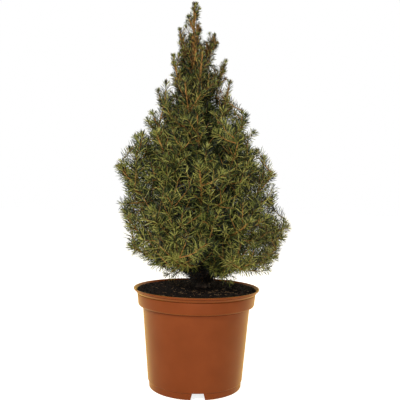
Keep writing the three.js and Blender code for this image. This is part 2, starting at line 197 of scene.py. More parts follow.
def mass_of(tier, index, seed):
    """A mass's stem from the trunk to the crown's outline, with what its shoots need."""
    name, count, turn, leaves, tip_right, tip_left, shoot, needle, bough = tier
    azimuth = math.radians(turn + 360 / count * index)
    out = np.array([math.cos(azimuth), math.sin(azimuth), 0])
    start = trunk_at(leaves + 10 * (chance(seed) - 0.5) + 5 * (index % 2))
    height = lerp(tip_left, tip_right, (1 + out[0]) / 2) + 10 * (chance(seed + 100) - 0.5)
    reach = crown_reach(height, azimuth)
    tip = trunk_at(height) + out * reach
    bend = start + out * CROWN["swing"] * reach
    bend[2] += CROWN["lift"] * (tip[2] - start[2])
    return dict(
        tier=name, seed=seed, side=np.array([-out[1], out[0], 0]),
        path=np.array([start, bend, tip]), enters=CROWN["enters"] if bough else 0.0, bough=bough,
        shoot=shoot, needle=needle, thick=1.1 + reach / 95,
    )


def leader_mass():
    start = trunk_at(TRUNK["top"]) + UP * 0.3
    tip = np.array([start[0], start[1], CROWN["leader_tip"]])
    return dict(
        tier="leader", seed=0, side=np.array([0.0, 1, 0]),
        path=np.array([start, (start + tip) / 2, tip]), enters=0.0, bough=False, shoot=24, needle=8.5,
        thick=TRUNK["top_radius"],
    )


def buds_of(mass):
    """The side shoots that a mass's buds would make, and whether each one ends inside the crown."""
    bud = np.arange(CROWN["buds"])
    local = lerp(0.1, 0.86, (bud * 0.618034 + chance(mass["seed"] + 200)) % 1)
    at = lerp(mass["enters"], 1, local)
    start, tangent = point_on(mass["path"], at), along(mass["path"], at)
    across = unit(mass["side"] - tangent * dot(tangent, mass["side"]))
    over = np.cross(across, tangent)
    turn = GOLDEN * bud + 2 * math.pi * chance(mass["seed"] + 300)
    opening = np.radians(lerp(72, 38, local))
    heading = opened(tangent, across, over, opening, turn, 0.2)
    full = mass["shoot"] * lerp(1, 0.7, local) * lerp(0.85, 1.15, chance(31 * mass["seed"] + bud + 400))
    shoots, fits = np.zeros((len(bud), 3, 3)), np.zeros(len(bud), bool)
    for share in np.arange(1, CROWN["shortest"] - 1e-9, -0.125):
        run = heading * (full * share)[:, None]
        end = start + run + 0.18 * UP * (full * share)[:, None]
        new = inside_crown(end) & ~fits
        shoots[new] = np.stack([start, start + 0.55 * run, end], 1)[new]
        fits |= new
    return shoots, fits


def grow_crown():
    """Every mass with its side shoots, which take turns to grow where there is most room."""
    masses = [leader_mass()]
    for tier in TIERS:
        for index in range(tier[1]):
            masses.append(mass_of(tier, index, len(masses)))
    z = np.linspace(TRUNK["foot"], TRUNK["top"], 25)
    line = trunk_at(z)
    limbs = [(line[:-1], np.diff(line, axis=0), trunk_radius((z[:-1] + z[1:]) / 2))]
    for mass in masses:
        mass["axis"] = stretches(mass["path"], np.zeros(6))
        if mass["bough"]:
            limbs.append(stretches(mass["path"], np.full(6, mass["thick"]), 0, mass["enters"]))
    limbs = joined(limbs)
    rows = STEM["rows"]
    for mass in masses:
        others = joined([other["axis"] for other in masses if other is not mass] + [limbs])
        tips = []
        for row in range(rows + 1):
            share = min(1, row / (rows - 0.5))
            at = lerp(mass["enters"], 1, share)
            room = min(60, gaps(stretches(mass["path"], [0], at, at - 0.01), others).min())
            swell = STEM["swell"] * mass["shoot"] * max(0, math.sin(math.pi * share**0.8)) ** 0.7
            core = max(lerp(0.9 * mass["thick"], 0.6, share), min(swell, STEM["core_share"] * room))
            wanted = core + max(STEM["needle"], mass["needle"] - core)
            tips.append(max(core, min(wanted, STEM["tip_share"] * room)))
        mass["kept"] = [stretches(mass["path"], tips[1:], mass["enters"])]
        mass["shoots"], mass["spaces"] = [], []
        mass["buds"] = buds_of(mass)
    for _ in range(CROWN["shoots"]):
        for mass in masses:
            grow_shoot(mass, masses, limbs)
    return masses


def grow_shoot(mass, masses, limbs):
    """Of the buds on a mass, the one with the most room round its shoot grows."""
    shoots, fits = mass["buds"]
    paths = shoots[fits]
    if not len(paths):
        return
    radius = np.full(2, SPRAY["space"] * mass["needle"])
    spaces = [stretches(path, radius, 0.4) for path in paths]
    everyone = joined(spaces)
    others = joined([part for other in masses if other is not mass for part in other["kept"]] + [limbs])
    clear = np.minimum(30, gaps(everyone, others).min(1).reshape(-1, 2).min(1))
    crowded = np.full(len(paths), 30.0)
    if mass["spaces"]:
        crowded = np.minimum(30, gaps(everyone, joined(mass["spaces"])).min(1).reshape(-1, 2).min(1))
    room = np.minimum(clear, crowded + SPRAY["crowding"]) + 0.2 * lengths(paths)
    room[(clear < SPRAY["spacing"]) | (crowded < -SPRAY["crowding"])] = -np.inf
    best = int(np.argmax(room))
    if np.isfinite(room[best]):
        mass["shoots"].append(paths[best])
        mass["spaces"].append(spaces[best])
        mass["kept"].append(spaces[best])


masses = grow_crown()

# ---- Finer twigs -------------------------------------------------------------------------------------

rng = np.random.default_rng(11)

# Shoots that carry needles: path, the share where needles start, radii, needles' length, order (0 for a stem,
# 1 for a side shoot, 2 for a twig) and whether it is a shaded one inside the crown.
shoots = []
SHORT = (0.45, 0.7, 0.7)  # how far each order stops short of its reach, as a share of its needles' length
SHORTEST = 0.6  # of its needles' length, the shortest shoot that is worth growing


def add_shoot(path, bare, radii, needle, order, inner=False, short=None):
    """A shoot stops short of its reach by what its last needles add, and is left out where little is left."""
    length = lengths(path[None])[0]
    keep = 1 - (short or SHORT[order]) * needle / length
    if keep * length < SHORTEST * needle:
        return
    end = point_on(path, keep)
    cut = np.array([path[0], lerp(path[0], path[1], keep), end])
    shoots.append(dict(path=cut, bare=bare, radii=radii, needle=needle, order=order, inner=inner))


# Each pair holds places along one line, mostly heights, and a measure at each, in millimetres.
FILL = [300, 360, 420, 470, 530], [6, 17, 18, 11, 5]  # by height, how far inside the outline twigs stop
BOLD = [300, 350, 420, 470, 530], [-3, 9, 14, 8, 3]  # the same for the boldest twigs
SWAY = [200, 225, 262, 290], [0, 7, 7, 0]  # by height, how far the crown's outside moves to the left
SWAY_AT = 110  # the distance from the middle where it moves by that much
LOWEST = (  # by place from left to right, how low twigs end
    [-100, -60, -34, -18, 14, 28, 40, 80, 105],
    [190, 180, 172, 196, 196, 165, 155, 162, 184],
)
FOOT = [195, 222], [52, 0]  # by height, how near the trunk twigs may end
BOLDEST = 0.45  # the share of twigs that are the boldest
INSIDE = dict(reach=0.87, out=48, left=-30, foot=154, rise=10)  # where shaded twigs inside the crown end
TWIG = dict(bare=0.06, radii=(0.7, 0.45))


def finer(path, spacing, first, last, full, needle, opening=(60, 42), lift=0.25, inner=False):
    """Twigs on a shoot by the source's rule: golden angle, opening, turning up, within the crown's reach."""
    length = lengths(path[None])[0]
    count = int((last - first) * length / spacing)
    if count < 1:
        return
    k = np.arange(count)
    at = first + (last - first) * (k + rng.random(count)) / count
    start, tangent = point_on(path, at), along(path, at)
    side = np.cross(tangent[0], UP)
    side = unit(side) if np.linalg.norm(side) > 0.05 else np.array([1.0, 0, 0])
    across = unit(side - tangent * dot(tangent, side))
    over = np.cross(across, tangent)
    turn = GOLDEN * k + rng.random() * TURN
    angle = np.radians(lerp(opening[0], opening[1], at) + rng.normal(0, 6, count))
    heading = opened(tangent, across, over, angle, turn, lift)
    reach = full * lerp(1, 0.6, at) * lerp(0.75, 1.2, rng.random(count))
    done = np.zeros(count, bool)
    bold = rng.random(count) < BOLDEST
    for share in (1, 0.8, 0.6, 0.45):
        run = heading * (reach * share)[:, None]
        end = start + run + 0.2 * UP * (reach * share)[:, None]
        z = end[:, 2]
        out, most = from_trunk(end)
        most = most - np.interp(z, *SWAY) * end[:, 0] / SWAY_AT
        lowest = np.interp(end[:, 0], *LOWEST)
        if inner:
            fits = out <= INSIDE["reach"] * most
            foot = (out < INSIDE["out"]) & (end[:, 0] > INSIDE["left"])
            lowest = np.where(foot, INSIDE["foot"], lowest + INSIDE["rise"])
        else:
            stop = np.where(bold, np.interp(z, *BOLD), np.interp(z, *FILL))
            fits = (out <= most - stop) & (out > np.interp(z, *FOOT))
        new = fits & (z >= lowest) & ~done
        for i in np.flatnonzero(new):
            twig = np.array([start[i], start[i] + 0.55 * run[i], end[i]])
            add_shoot(twig, TWIG["bare"], TWIG["radii"], needle, 2, inner)
        done |= new


LEADER = 2.8  # the leader's radius, and the least of the trunk's below it
LEADER_SHORT = 0.95
NEEDLE = dict(leader=8, crest=8, upper=9, shoulder=11, middle=13, waist=14, broad=15, low=15, skirt=15)
SHOWN = dict(leader=0.66, crest=0.4, upper=0.45, shoulder=0.45, middle=0.4)  # share of a stem left bare
FULLER = dict(skirt=1.25, low=1.15)  # how much longer the low tiers' twigs are
CROWDED = dict(leader=0.45, crest=0.32)  # twigs' spacing on a stem, as a share of its needles' length
UPRIGHT = ("leader", "crest", "upper", "shoulder")  # tiers whose thick bare stems show


def dress(mass):
    """Needles for a mass's stem and side shoots, and twigs on each."""
    tier = mass["tier"]
    needle = NEEDLE[tier]
    leader, upright = tier == "leader", tier in UPRIGHT
    first = lerp(mass["enters"], 1, 0.14 if leader else 0.16)
    thick = max(mass["thick"], LEADER) if leader else mass["thick"]
    radii = (thick, 1.3 if needle < 12 else 1.0)
    short = LEADER_SHORT if leader else None
    add_shoot(mass["path"], max(first, SHOWN.get(tier, 0)), radii, needle, 0, short=short)
    full = FULLER.get(tier, 1.0) * mass["shoot"]
    finer(mass["path"], CROWDED.get(tier, 0.4) * needle, first, 0.88, full, needle)
    for path in mass["shoots"]:
        add_shoot(path, 0.3 if upright else 0.1, (1.7, 1.0) if upright else (1.4, 0.7), needle, 1)
        finer(path, 0.36 * needle, 0.12, 0.76, 0.8 * full, needle)


for mass in masses:
    dress(mass)

ROOM = 22  # how far from every shoot a place on the crown's outside lies where one more grows
OUTSIDE = dict(low=178, high=460, apart=9, turn=9)  # the places' least and greatest height and their spacing
UNDER = dict(height=205, side=48)  # below this height, places nearer the trunk's front stay clear
STEEP = [195, 240], [-0.3, 0.45]  # by height, the least rise of such a shoot for its length
FILLER = dict(bare=0.05, radii=(0.9, 0.6), needle=13, short=0.45)


def fill_outside():
    """One more shoot at a time, to the place on the crown's outside that is farthest from every other."""
    heights = np.arange(float(OUTSIDE["low"]), OUTSIDE["high"], OUTSIDE["apart"])
    turns = np.radians(np.arange(0, 360, OUTSIDE["turn"]))
    z, turn = (grid.ravel() for grid in np.meshgrid(heights, turns))
    out = np.stack([np.cos(turn), np.sin(turn), 0 * turn], -1)
    places = trunk_at(z) + out * (crown_reach(z, turn) - np.interp(z, [300, 360], [6, 5]))[:, None]
    places = places[(z > UNDER["height"]) | (np.abs(places[:, 0]) > UNDER["side"])]
    stems = [mass["path"] for mass in masses if mass["tier"] not in ("leader", "crest")]
    stems += [path for mass in masses for path in mass["shoots"]]
    forks = point_on(np.array(stems)[:, None], np.linspace(0.3, 0.85, 8)[None]).reshape(-1, 3)
    grown = np.array([s["path"] for s in shoots])
    taken = point_on(grown[:, None], np.array([[0.4, 0.7, 1.0]])).reshape(-1, 3)
    room = np.linalg.norm(places[:, None] - taken[None], axis=-1).min(1)
    while room.max() > ROOM:
        place = places[int(np.argmax(room))]
        run = place - forks
        rise, long = run[:, 2], np.linalg.norm(run, axis=-1)
        steep = np.interp(place[2], *STEEP)
        cost = long + 40 * (rise < steep * long) + 40 * (long < 18)
        fork = forks[np.argmin(cost)]
        run = place - fork
        path = np.array([fork, fork + run * (0.85, 0.85, 0.3), place])
        add_shoot(path, FILLER["bare"], FILLER["radii"], FILLER["needle"], 1, short=FILLER["short"])
        finer(path, 6, 0.2, 0.85, 30, FILLER["needle"])
        room = np.minimum(room, np.linalg.norm(places - place, axis=-1))


# The hanging sprays: the first one's start height and tip, the steps to the next, and which hangs lowest.
HANGING = dict(count=8, starts=208, rise=4, tips=(27, -50, 166), step=(5.5, 3, 3.5), lowest=2)


def hang_sprays():
    """The lowest sprays hang before the trunk, on its right, down to the compost."""
    for k in range(HANGING["count"]):
        start = trunk_at(HANGING["starts"] + HANGING["rise"] * k)
        end = np.array(HANGING["tips"]) + np.array(HANGING["step"]) * (k, k, abs(k - HANGING["lowest"]))
        path = np.array([start, lerp(start, end, 0.6) + 10 * UP, end])
        add_shoot(path, 0.3, (1.2, 0.6), FILLER["needle"], 1, short=FILLER["short"])
        for turn in (-0.5, 0.5):
            fork = point_on(path, 0.6)
            reach = 0.35 * (end - start)
            c, s = math.cos(turn), math.sin(turn)
            swung = np.array([reach[0] * c - reach[1] * s, reach[0] * s + reach[1] * c, reach[2]])
            add_shoot(np.array([fork, fork + 0.5 * swung + 2 * UP, fork + swung]), 0.1, TWIG["radii"], 13, 2)


# Stretches of the trunk, by the heights of their ends, with the length of the shaded twigs on them.
SHADED = (160, 200, 60), (200, 310, 100), (300, 400, 76), (400, 490, 40)


def fill_inside():
    """Short shoots on the trunk's upper half, round the leader's foot, and shaded ones inside the crown."""
    upper = trunk_at([400, 445, 487])
    finer(upper, 4.2, first=0, last=1, full=28, needle=10.5, opening=(55, 42), lift=0.3)
    for low, high, full in SHADED:
        stretch = trunk_at([low, (low + high) / 2, high])
        finer(stretch, 0.95, 0, 1, full, needle=13, opening=(86, 72), lift=0.15, inner=True)
    foot = trunk_at([150, 162, 176])
    finer(foot, 0.25, 0, 1, full=46, needle=12, opening=(62, 74), lift=0.3, inner=True)


fill_outside()
hang_sprays()
fill_inside()

# ---- Meshes from arrays ------------------------------------------------------------------------------


def make_piece(name, verts, faces, materials, nodes=(), smooth=True, sides=3, which=None):
    """A joined mesh from arrays, in millimetres, that rides on the body."""
    mesh = bpy.data.meshes.new(name)
    verts, faces = np.asarray(verts, np.float32) * MM, np.asarray(faces, np.int32)
    mesh.vertices.add(len(verts))
    mesh.vertices.foreach_set("co", verts.ravel())
    mesh.loops.add(faces.size)
    mesh.loops.foreach_set("vertex_index", faces.ravel())
    mesh.polygons.add(len(faces))
    mesh.polygons.foreach_set("loop_start", np.arange(0, faces.size, sides, dtype=np.int32))
    for material in materials:
        mesh.materials.append(material)
    if which is not None:
        mesh.polygons.foreach_set("material_index", np.asarray(which, np.int32))
    mesh.polygons.foreach_set("use_smooth", np.full(len(faces), smooth))
    mesh.update(calc_edges=True)
    piece = bpy.data.objects.new(name, mesh)
    bpy.context.scene.collection.objects.link(piece)
    if nodes:
        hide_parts(*nodes)
    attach(piece, "root")


def crosswise(axis, guide):
    """Two directions at right angles to each axis and each other, steady where the guide is."""
    lean = np.where(np.abs(guide[..., 2:]) > 0.9, [1.0, 0, 0], [0, 0, 1.0])
    u = unit(np.cross(axis, lean))
    return u, np.cross(axis, u)


def grid_quads(rows, columns):
    """The faces between rows of vertices that close on themselves."""
    i, j = np.meshgrid(np.arange(rows - 1), np.arange(columns), indexing="ij")
    a, b = i * columns + j, i * columns + (j + 1) % columns
    return np.stack([a, b, b + columns, a + columns], -1).reshape(-1, 4)


def prongs(base, tip, radius, shoulder=0.72):
    """Closed three-sided needles, even in width up to a shoulder: seven vertices, ten faces."""
    run = tip - base
    u, v = crosswise(unit(run), unit(run))
    phase = rng.random(len(base))[:, None] * 2.1
    rings = []
    for up, wide in ((0, 0.7), (shoulder, 1)):
        for turn in (phase + k * THIRD for k in range(3)):
            rings.append(base + up * run + wide * radius[:, None] * (u * np.cos(turn) + v * np.sin(turn)))
    verts = np.stack([*rings, tip], 1).reshape(-1, 3)
    pattern = np.array([
        [0, 2, 1], [0, 1, 4], [0, 4, 3], [1, 2, 5], [1, 5, 4],
        [2, 0, 3], [2, 3, 5], [6, 3, 4], [6, 4, 5], [6, 5, 3],
    ])
    faces = (np.arange(len(base))[:, None, None] * 7 + pattern).reshape(-1, 3)
    return verts, faces


def spikes(base, tip, radius):
    """Closed three-sided needles that taper all the way, for the shade inside: four vertices, four faces."""
    axis = unit(tip - base)
    u, v = crosswise(axis, axis)
    ring = [base + radius[:, None] * (u * math.cos(k * THIRD) + v * math.sin(k * THIRD)) for k in range(3)]
    verts = np.stack([*ring, tip], 1).reshape(-1, 3)
    pattern = np.array([[0, 2, 1], [3, 0, 1], [3, 1, 2], [3, 2, 0]])
    return verts, (np.arange(len(base))[:, None, None] * 4 + pattern).reshape(-1, 3)


def tubes(paths, radii, sides, rings):
    """Tapering twigs along paths, narrow at the tip, where a bud closes them."""
    count = len(paths)
    t = np.linspace(0, 1, rings)
    centre = point_on(paths[:, None], t[None])
    tangent = along(paths[:, None], np.broadcast_to(t, (count, rings)))
    u, v = crosswise(tangent, tangent[:, :1])
    radius = lerp(radii[:, :1], radii[:, 1:], t[None])
    radius[:, -1] *= 0.3
    turn = np.arange(sides) * 2 * np.pi / sides
    spokes = u[:, :, None] * np.cos(turn)[:, None] + v[:, :, None] * np.sin(turn)[:, None]
    ring = centre[:, :, None] + radius[:, :, None, None] * spokes
    faces = (np.arange(count)[:, None, None] * rings * sides + grid_quads(rings, sides)).reshape(-1, 4)
    return ring.reshape(-1, 3), faces


# ---- Materials ---------------------------------------------------------------------------------------


def srgb(r, g, b):
    """A colour of 0 to 255 a channel, as the linear values that a shader takes."""
    c = np.array([r, g, b], float) / 255
    return (*np.where(c <= 0.04045, c / 12.92, ((c + 0.055) / 1.055) ** 2.4), 1.0)


def plain(name, colour, roughness, specular=0.5):
    """A principled material of one colour."""
    material = bpy.data.materials.new(name)
    material.use_nodes = True
    shader = material.node_tree.nodes["Principled BSDF"]
    shader.inputs["Base Color"].default_value = srgb(*colour)
    shader.inputs["Roughness"].default_value = roughness
    shader.inputs["Specular IOR Level"].default_value = specular
    return material


def patterned(name, stops, scale, roughness, bump, stretch=(1, 1, 1), specular=0.5, fine=None):
    """A principled material whose colour, roughness and fine relief follow noise in the row frame."""
    material = plain(name, (128, 128, 128), 0.5, specular)
    nodes, links = material.node_tree.nodes, material.node_tree.links
    shader = nodes["Principled BSDF"]
    where = nodes.new("ShaderNodeTexCoord")
    squash = nodes.new("ShaderNodeMapping")
    squash.inputs["Scale"].default_value = stretch
    links.new(where.outputs["Object"], squash.inputs["Vector"])
    pattern = nodes.new("ShaderNodeTexNoise")
    pattern.inputs["Scale"].default_value = scale
    pattern.inputs["Detail"].default_value = 8
    links.new(squash.outputs["Vector"], pattern.inputs["Vector"])
    ramp = nodes.new("ShaderNodeValToRGB")
    for end in (0, -1):
        ramp.color_ramp.elements[end].position = stops[end][0]
        ramp.color_ramp.elements[end].color = srgb(*stops[end][1])
    for position, colour in stops[1:-1]:
        ramp.color_ramp.elements.new(position).color = srgb(*colour)
    links.new(pattern.outputs["Fac"], ramp.inputs["Fac"])
    links.new(ramp.outputs["Color"], shader.inputs["Base Color"])
    rough = nodes.new("ShaderNodeMapRange")
    rough.inputs["To Min"].default_value, rough.inputs["To Max"].default_value = roughness
    links.new(pattern.outputs["Fac"], rough.inputs["Value"])
    links.new(rough.outputs["Result"], shader.inputs["Roughness"])
    grain = nodes.new("ShaderNodeTexNoise")
    grain.inputs["Scale"].default_value = fine or 4 * scale
    grain.inputs["Detail"].default_value = 6
    links.new(squash.outputs["Vector"], grain.inputs["Vector"])
    relief = nodes.new("ShaderNodeBump")
    relief.inputs["Strength"].default_value = bump[0]
    relief.inputs["Distance"].default_value = bump[1] * MM
    links.new(grain.outputs["Fac"], relief.inputs["Height"])
    links.new(relief.outputs["Normal"], shader.inputs["Normal"])
    return material


# The darkest tints are partly painted shade for needles deep inside the crown.
TINTS = [  # from deep inner needles to the pale tips of the season's growth, then those outside that order
    ("deep", (24, 30, 15)),
    ("shade", (42, 54, 26)),
    ("green", (72, 86, 42)),
    ("olive", (96, 106, 48)),
    ("leaf", (118, 128, 57)),
    ("light", (146, 149, 68)),
    ("tip", (179, 175, 90)),
    ("bronze", (128, 94, 46)),
    # near-black: withered needles and painted shade
    ("dead_shade", (27, 23, 17)),
]
SHADE, OLIVE, TIP, BRONZE, DEAD_SHADE = 1, 3, 6, 7, 8
needle_materials = [plain(f"needle_{name}", colour, 0.42, 0.32) for name, colour in TINTS]
twig_bark = patterned(
    "twig_bark", [(0.3, (118, 80, 34)), (0.5, (172, 120, 54)), (0.72, (212, 158, 84))], 420,
    roughness=(0.6, 0.8), bump=(0.4, 0.2),
)
trunk_bark = patterned(
    "trunk_bark", [(0.3, (30, 23, 19)), (0.5, (52, 40, 32)), (0.72, (86, 70, 56))], 160,
    roughness=(0.75, 0.95), bump=(0.8, 0.5), stretch=(1, 1, 0.35),
)
peat = patterned(
    "peat", [(0.35, (14, 11, 10)), (0.55, (27, 21, 18)), (0.75, (46, 36, 29))], 260,
    roughness=(0.8, 1.0), bump=(0.9, 0.6), specular=0.2,
)
chip = patterned(
    "bark_chip", [(0.3, (30, 21, 16)), (0.5, (50, 35, 26)), (0.75, (84, 62, 44))], 300,
    roughness=(0.7, 0.95), bump=(0.6, 0.3), specular=0.2,
)
straw = plain("straw", (178, 144, 106), 0.7, 0.3)
pot_plastic = patterned(
    "pot_plastic", [(0.3, (128, 61, 24)), (0.5, (132, 63, 26)), (0.7, (136, 66, 28))], 34,
    roughness=(0.28, 0.38), bump=(0.06, 0.15), specular=0.12, fine=900,
)
glaze = pot_plastic.node_tree.nodes["Principled BSDF"]
glaze.inputs["Sheen Weight"].default_value = 1.0
glaze.inputs["Sheen Roughness"].default_value = 0.35
glaze.inputs["Sheen Tint"].default_value = srgb(255, 205, 84)
# Darker plastic: painted shade for the pot's creases.
pot_painted_shade = plain("pot_painted_shade", (108, 50, 22), 0.7, 0.1)

# ---- Needles and twigs -------------------------------------------------------------------------------

FOLIAGE = sorted(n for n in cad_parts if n.startswith("foliage_"))
BOUGHS = sorted(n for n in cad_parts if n.startswith("bough_"))
USUAL = 13  # a needle's usual length
PER_MM = (3.0, 2.06, 1.17)  # needles of that length on each millimetre of a stem, side shoot and twig
INNER_PER_MM = 1.0
MOST = 19000  # needles in one piece
TUFTS = np.array((24, 18, 7))  # needles crowded round the bud of each
RADIUS = (0.33, 0.44)  # the needles' least and greatest
DEAD_SHADE_FOOT = dict(height=205, out=50)  # the shaded needles below and within these are withered and near-black as painted shade
HIGH = 380  # from here up the needles open less and some are bronze
# Where the golden stem shows: its heights, how near it needles hide it, and the share of them left out.
CLEAR = dict(low=462, high=566, side=3.5, share=0.8)


def before_stem(root, tip):
    """The needles that stand before the leader's stem, and the trunk's top, as seen from the front."""
    leader = masses[0]["path"]
    share = (root[:, 2] - TRUNK["top"]) / (leader[2, 2] - leader[0, 2])
    stem = np.where(root[:, 2:] > TRUNK["top"], point_on(leader, share), trunk_at(root[:, 2]))
    hides = (np.abs(lerp(root, tip, 0.5)[:, 0] - stem[:, 0]) < CLEAR["side"]) & (root[:, 1] < stem[:, 1] + 1)
    return hides & (root[:, 2] > CLEAR["low"]) & (root[:, 2] < CLEAR["high"])


def grow_needles():
    """Every needle: its root, tip, radius, tint and whether it is a shaded one inside the crown."""
    path = np.array([s["path"] for s in shoots])
    bare = np.array([s["bare"] for s in shoots])
    order = np.array([s["order"] for s in shoots])
    size = np.array([s["needle"] for s in shoots])
    inner = np.array([s["inner"] for s in shoots])
    per_mm = np.where(inner, INNER_PER_MM, np.array(PER_MM)[order] * USUAL / size)
    count = np.maximum(6, (lengths(path) * (1 - bare) * per_mm).astype(int))
    crowd = TUFTS[order]
    index = np.arange(len(shoots))
    owner = np.concatenate([np.repeat(index, count), np.repeat(index, crowd)])
    n = len(owner)
    rank = np.concatenate([np.arange(c) for c in (*count, *crowd)])
    tuft = np.arange(n) >= count.sum()
    total = np.where(tuft, crowd[owner], count[owner])
    local = np.where(tuft, 0.97 + 0.03 * rng.random(n), (rank + rng.random(n)) / total)
    at = lerp(bare[owner], 1, local)
    root, tangent = point_on(path[owner], at), along(path[owner], at)
    u, v = crosswise(tangent, along(path, 0.5 + np.zeros(len(path)))[owner])
    turn = GOLDEN * rank + owner * 1.7 + rng.normal(0, 0.25, n)

    # The needles' angle to the shoot: widest inside the crown and at a shoot's foot, any angle in a tuft.
    outside = np.clip((crown_depth(path[:, 2]) - 0.7) / 0.25, 0, 1)[owner]
    high = np.clip((root[:, 2] - HIGH) / 100, 0, 1)
    opening = lerp(lerp(80, 70, outside), 56, local**1.4) - 14 * high
    angle = np.radians(np.where(tuft, rng.uniform(5, 72, n), opening + rng.normal(0, 5, n)))[:, None]
    sideways = u * np.cos(turn)[:, None] + v * np.sin(turn)[:, None]
    heading = unit(tangent * np.cos(angle) + sideways * np.sin(angle) + 0.14 * UP)
    reach = size[owner] * rng.uniform(0.84, 1.16, n) * np.where(tuft, 0.66, 1 - 0.25 * local**4)
    reach *= np.where(inner[owner], 1.2, 1)
    reach *= np.where(local < 0.12, 0.75, 1)
    tip = root + heading * reach[:, None] + UP * (0.06 * reach)[:, None]
    radius = rng.uniform(*RADIUS, n) * np.where(inner[owner], 2.0, np.sqrt(size[owner] / USUAL))

    # Tint: deeper inside the crown and at a shoot's foot, paler at the tips on its outside and low down.
    ends = np.clip((crown_depth(path[:, 2]) - 0.72) / 0.28, 0, 1)[owner]
    mood = rng.normal(0, 1, len(shoots))[owner]
    # The darkening deeper inside the crown is partly painted shade.
    tone = 0.35 + 1.8 * np.clip(crown_depth(root) - 0.15, 0, 1) + 1.0 * ends * local**2
    tone = tone + 0.2 * mood + rng.normal(0, 4.2, n)
    low = root[:, 2] < DEAD_SHADE_FOOT["height"]
    tone += 1.6 * low
    tone += np.where(order[owner] < 2, 1.8, 1.0 * (mood > 0)) * tuft * ends
    tint = np.clip(np.round(tone), 0, TIP).astype(int)
    # Shaded needles inside the crown keep to the dark tints, as painted shade.
    palest = np.where(root[:, 2] > 400, OLIVE, SHADE)
    # Near the trunk's foot they take the near-black tint of withered needles and painted shade.
    shaded = np.where(low & (from_trunk(root)[0] < DEAD_SHADE_FOOT["out"]), DEAD_SHADE, np.minimum(tint, palest))
    tint = np.where(inner[owner], shaded, tint)
    brown = rng.random(len(shoots))[owner] < 0.08 * high
    brown |= rng.random(n) < 0.22 * high + 0.09 * ends * local
    tint = np.where(brown & (tint > SHADE), BRONZE, tint)
    kept = ~(before_stem(root, tip) & ~tuft & (rng.random(n) < CLEAR["share"]))
    return root[kept], tip[kept], radius[kept], tint[kept], inner[owner][kept]


def make_needles():
    """The needles of each tint, outer ones and shaded ones apart."""
    root, tip, radius, tint, shaded = grow_needles()
    for index, (name, _) in enumerate(TINTS):
        for kind, shape, pick in (("needles", prongs, ~shaded), ("inner_needles", spikes, shaded)):
            found = np.flatnonzero(pick & (tint == index))
            for part in range(math.ceil(len(found) / MOST)):
                some = found[part * MOST : (part + 1) * MOST]
                verts, faces = shape(root[some], tip[some], radius[some])
                made = f"{kind}_{name}_{part + 1}"
                make_piece(made, verts, faces, [needle_materials[index]], FOLIAGE, smooth=False)


def make_wood():
    """Twigs, stems and the bud at each one's tip."""
    fine = [s for s in shoots if s["order"]]
    verts, faces = tubes(np.array([s["path"] for s in fine]), np.array([s["radii"] for s in fine]), 4, 4)
    make_piece("twigs", verts, faces, [twig_bark], FOLIAGE, sides=4)
    stems = [s for s in shoots if not s["order"]]
    verts, faces = tubes(np.array([s["path"] for s in stems]), np.array([s["radii"] for s in stems]), 8, 16)
    make_piece("stems", verts, faces, [twig_bark], FOLIAGE + BOUGHS, sides=4)
    ends = np.array([s["path"] for s in shoots])
    way = along(ends, np.ones(len(ends)))
    verts, faces = prongs(ends[:, 2] - 0.6 * way, ends[:, 2] + 1.9 * way, np.full(len(ends), 0.8), 0.45)
    make_piece("buds", verts, faces, [plain("bud", (138, 92, 48), 0.5)], FOLIAGE)


make_needles()
make_wood()

# ---- Trunk -------------------------------------------------------------------------------------------


YOUNG_BARK = 425  # the height where the trunk's bark turns young


def make_trunk():
    """The trunk with its flared foot and the relief of its bark, in young bark near its top."""
    rows, columns = 200, 40
    z = lerp(TRUNK["foot"], TRUNK["top"], (np.arange(rows + 1) / rows) ** 1.25)
    turn = np.arange(columns) * 2 * np.pi / columns
    zz, tt = np.meshgrid(z, turn, indexing="ij")
    radius = trunk_radius(zz)
    fade = np.exp(-(zz - TRUNK["foot"]) / (1.6 * TRUNK["flare_height"]))
    radius = radius * (1 + 0.22 * np.cos(TRUNK["lobes"] * tt + 0.6) * fade)
    flakes = np.array([
        field.fractal(Vector((math.cos(b) * 2.2, math.sin(b) * 2.2, a * 0.09)), 1.0, 2.1, 5)
        for a, b in zip(zz.ravel(), tt.ravel())
    ]).reshape(zz.shape)
    radius = np.maximum(radius * (1 + 0.10 * flakes), LEADER) + 0.12 * flakes
    verts = trunk_at(zz) + np.stack([radius * np.cos(tt), radius * np.sin(tt), 0 * tt], -1)
    verts = verts.reshape(-1, 3)
    quads = grid_quads(rows + 1, columns)
    which = (verts[quads[:, 0], 2] > YOUNG_BARK + 14 * np.sin(quads[:, 0] * 1.7)).astype(int)
    make_piece("trunk_bark", verts, quads, [trunk_bark, twig_bark], ["trunk"], sides=4, which=which)


make_trunk()

# ---- Pot ---------------------------------------------------------------------------------------------


def rounded(profile, steps=4):
    """A lathe profile of (radius, height, corner radius) with its corners rounded."""
    out = []
    points = [np.array(p[:2], float) for p in profile]
    for i, (here, (_, _, corner)) in enumerate(zip(points, profile)):
        if not corner or i in (0, len(points) - 1):
            out.append(here)
            continue
        back, on = points[i - 1] - here, points[i + 1] - here
        cut = min(corner, 0.45 * np.linalg.norm(back), 0.45 * np.linalg.norm(on))
        a, b = here + unit(back) * cut, here + unit(on) * cut
        for t in np.linspace(0, 1, steps):
            out.append((1 - t) ** 2 * a + 2 * (1 - t) * t * here + t * t * b)
    return out


